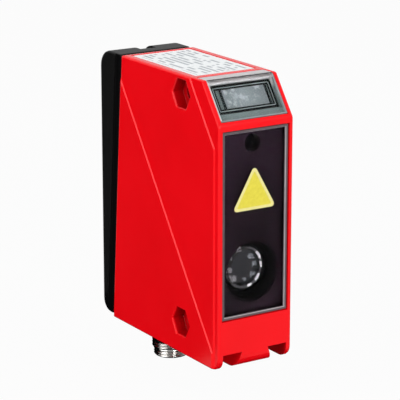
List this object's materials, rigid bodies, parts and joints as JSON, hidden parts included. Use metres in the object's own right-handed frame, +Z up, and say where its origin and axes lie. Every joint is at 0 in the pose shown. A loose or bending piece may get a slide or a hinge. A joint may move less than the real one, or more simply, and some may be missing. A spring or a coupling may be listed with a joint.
{
  "type": "laser displacement sensor",
  "caption": "Slim upright red housing with a dark front window for a laser and a receiving lens, a display on the sloping top, a black rear cover and a round connector below.",
  "frame": {"origin": "under the middle of the dovetail tongue, on the plane of the feet", "axes": "+Z up along the housing, -Y out of the front window, +X to the right of a viewer at the front"},
  "size_m": [0.0294, 0.0735, 0.1043],
  "materials": {
    "red_paint": "satin red paint",
    "black_cover": "fine-textured black moulding",
    "black_internal": "matt black moulding",
    "grey_frame": "pale grey moulding",
    "seal_rubber": "black rubber",
    "clear_pane": "clear, polished",
    "lens_glass": "coated lens glass",
    "mask_print": "dark printed film",
    "label_white": "printed label, blank field",
    "sticker_yellow": "plain yellow sticker",
    "display_grey": "liquid crystal cell, off",
    "circuit_board": "green solder mask",
    "chip_black": "moulded package",
    "steel": "plain steel",
    "nickel": "nickel-plated brass",
    "brass": "turned brass",
    "gold": "gold-plated contact"
  },
  "bodies": {
    "root": {"housing": "red_paint", "rear_cover": "black_cover", "cover_gasket": "seal_rubber", "cover_screw_upper_left": "steel", "cover_screw_upper_right": "steel", "cover_screw_lower_left": "steel", "cover_screw_lower_right": "steel", "front_window": "clear_pane", "aperture_mask": "mask_print", "window_frame": "grey_frame", "triangle_sticker": "sticker_yellow", "display_cover": "clear_pane", "display_surround": "grey_frame", "display_bezel": "black_internal", "display_panel": "display_grey", "display_board": "circuit_board", "top_label": "label_white", "optics_carrier": "black_internal", "carrier_screw_left": "steel", "carrier_screw_right": "steel", "lens_tube": "black_internal", "lens_retainer": "black_internal", "receiver_lens": "lens_glass", "image_sensor": "chip_black", "sensor_board": "circuit_board", "laser_holder": "brass", "collimator_lens": "lens_glass", "laser_diode": "steel", "laser_board": "circuit_board", "main_board": "circuit_board", "processor_chip": "chip_black", "connector_shell": "nickel", "connector_seal": "seal_rubber", "connector_nut": "nickel", "contact_carrier": "black_internal", "contact_pin_1": "gold", "contact_pin_2": "gold", "contact_pin_3": "gold", "contact_pin_4": "gold", "contact_pin_5": "gold", "connector_board": "circuit_board"}
  },
  "joints": []
}
